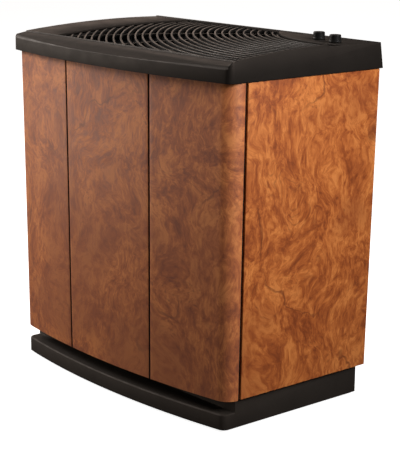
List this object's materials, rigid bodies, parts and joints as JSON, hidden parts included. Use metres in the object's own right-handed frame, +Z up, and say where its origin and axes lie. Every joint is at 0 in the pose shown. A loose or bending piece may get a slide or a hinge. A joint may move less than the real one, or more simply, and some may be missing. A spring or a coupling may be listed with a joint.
{
  "type": "cool mist humidifier",
  "caption": "Console evaporative humidifier: bow-fronted burl cabinet on hidden casters, with a water tub and wick inside and a lift-off deck holding fan, arc grille and two knobs.",
  "frame": {"origin": "on the floor, under the middle of the lid's top", "axes": "+Z up, +Y towards the back, +X towards the right as seen from the front"},
  "size_m": [0.486, 0.306, 0.5208],
  "materials": {
    "base_black": "satin moulded black with a slight brown cast",
    "shell_black": "fine-textured moulded black",
    "lid_black": "satin moulded black, fine grain",
    "grille_black": "satin moulded black",
    "burl_front": "burl figure under a satin lacquer",
    "burl_side": "burl figure under a satin lacquer",
    "tub_plastic": "natural translucent polypropylene",
    "wick_paper": "fluted absorbent paper",
    "chassis_plastic": "moulded dark grey",
    "zinc_steel": "zinc-plated pressed steel",
    "screw_steel": "bright steel",
    "motor_metal": "laminated core with painted end bells",
    "switch_plastic": "moulded phenolic",
    "humidistat_plastic": "moulded ivory case",
    "gland_rubber": "soft black bush",
    "fan_plastic": "moulded grey polypropylene",
    "knob_black": "fine-textured black",
    "float_plastic": "closed-cell foam",
    "nylon": "natural nylon",
    "wheel_rubber": "hard black tread"
  },
  "bodies": {
    "cabinet": {"base_plinth": "base_black", "caster_sockets": "nylon", "cabinet_shell": "shell_black", "front_panel": "burl_front", "side_panel_left": "burl_side", "side_panel_right": "burl_side", "intake_panel": "shell_black", "reservoir_tub": "tub_plastic", "wick_tray": "chassis_plastic", "evaporative_wick": "wick_paper", "cabinet_screws": "screw_steel"},
    "deck": {"top_lid": "lid_black", "air_grille": "grille_black", "fan_chassis": "chassis_plastic", "motor_bracket": "zinc_steel", "fan_motor": "motor_metal", "motor_screws": "screw_steel", "speed_switch": "switch_plastic", "humidistat": "humidistat_plastic", "float_switch": "switch_plastic", "cord_gland": "gland_rubber", "deck_screws": "screw_steel"},
    "fan": {"fan_blades": "fan_plastic", "fan_shaft": "screw_steel", "fan_clip": "zinc_steel"},
    "speed_control": {"speed_knob": "knob_black", "speed_shaft": "nylon"},
    "humidity_control": {"humidity_knob": "knob_black", "humidity_shaft": "nylon"},
    "float": {"float_body": "float_plastic", "float_rod": "nylon"},
    "caster_fl": {"caster_fork_fl": "zinc_steel", "caster_axle_fl": "screw_steel"},
    "wheel_fl": {"caster_wheel_fl": "wheel_rubber"},
    "caster_fr": {"caster_fork_fr": "zinc_steel", "caster_axle_fr": "screw_steel"},
    "wheel_fr": {"caster_wheel_fr": "wheel_rubber"},
    "caster_rl": {"caster_fork_rl": "zinc_steel", "caster_axle_rl": "screw_steel"},
    "wheel_rl": {"caster_wheel_rl": "wheel_rubber"},
    "caster_rr": {"caster_fork_rr": "zinc_steel", "caster_axle_rr": "screw_steel"},
    "wheel_rr": {"caster_wheel_rr": "wheel_rubber"}
  },
  "joints": [
    {"name": "deck_lift", "type": "slide", "parent": "cabinet", "child": "deck", "axis": [0, 0, 1], "range_m": [0, 0.2]},
    {"name": "fan_spin", "type": "hinge", "parent": "deck", "child": "fan", "pos_m": [0, 0.018, 0.4], "axis": [0, 0, 1], "continuous": true},
    {"name": "speed_turn", "type": "hinge", "parent": "deck", "child": "speed_control", "pos_m": [0.166, 0.107, 0.515], "axis": [0, 0, -1], "range_deg": [0, 90]},
    {"name": "humidity_turn", "type": "hinge", "parent": "deck", "child": "humidity_control", "pos_m": [0.208, 0.096, 0.515], "axis": [0, 0, -1], "range_deg": [0, 270]},
    {"name": "float_rise", "type": "slide", "parent": "deck", "child": "float", "axis": [0, 0, 1], "range_m": [0, 0.09]},
    {"name": "swivel_fl", "type": "hinge", "parent": "cabinet", "child": "caster_fl", "pos_m": [-0.188, -0.058, 0.034], "axis": [0, 0, 1], "continuous": true},
    {"name": "roll_fl", "type": "hinge", "parent": "caster_fl", "child": "wheel_fl", "pos_m": [-0.188, -0.049, 0.015], "axis": [1, 0, 0], "continuous": true},
    {"name": "swivel_fr", "type": "hinge", "parent": "cabinet", "child": "caster_fr", "pos_m": [0.188, -0.058, 0.034], "axis": [0, 0, 1], "continuous": true},
    {"name": "roll_fr", "type": "hinge", "parent": "caster_fr", "child": "wheel_fr", "pos_m": [0.188, -0.049, 0.015], "axis": [1, 0, 0], "continuous": true},
    {"name": "swivel_rl", "type": "hinge", "parent": "cabinet", "child": "caster_rl", "pos_m": [-0.188, 0.098, 0.034], "axis": [0, 0, 1], "continuous": true},
    {"name": "roll_rl", "type": "hinge", "parent": "caster_rl", "child": "wheel_rl", "pos_m": [-0.188, 0.107, 0.015], "axis": [1, 0, 0], "continuous": true},
    {"name": "swivel_rr", "type": "hinge", "parent": "cabinet", "child": "caster_rr", "pos_m": [0.188, 0.098, 0.034], "axis": [0, 0, 1], "continuous": true},
    {"name": "roll_rr", "type": "hinge", "parent": "caster_rr", "child": "wheel_rr", "pos_m": [0.188, 0.107, 0.015], "axis": [1, 0, 0], "continuous": true}
  ]
}
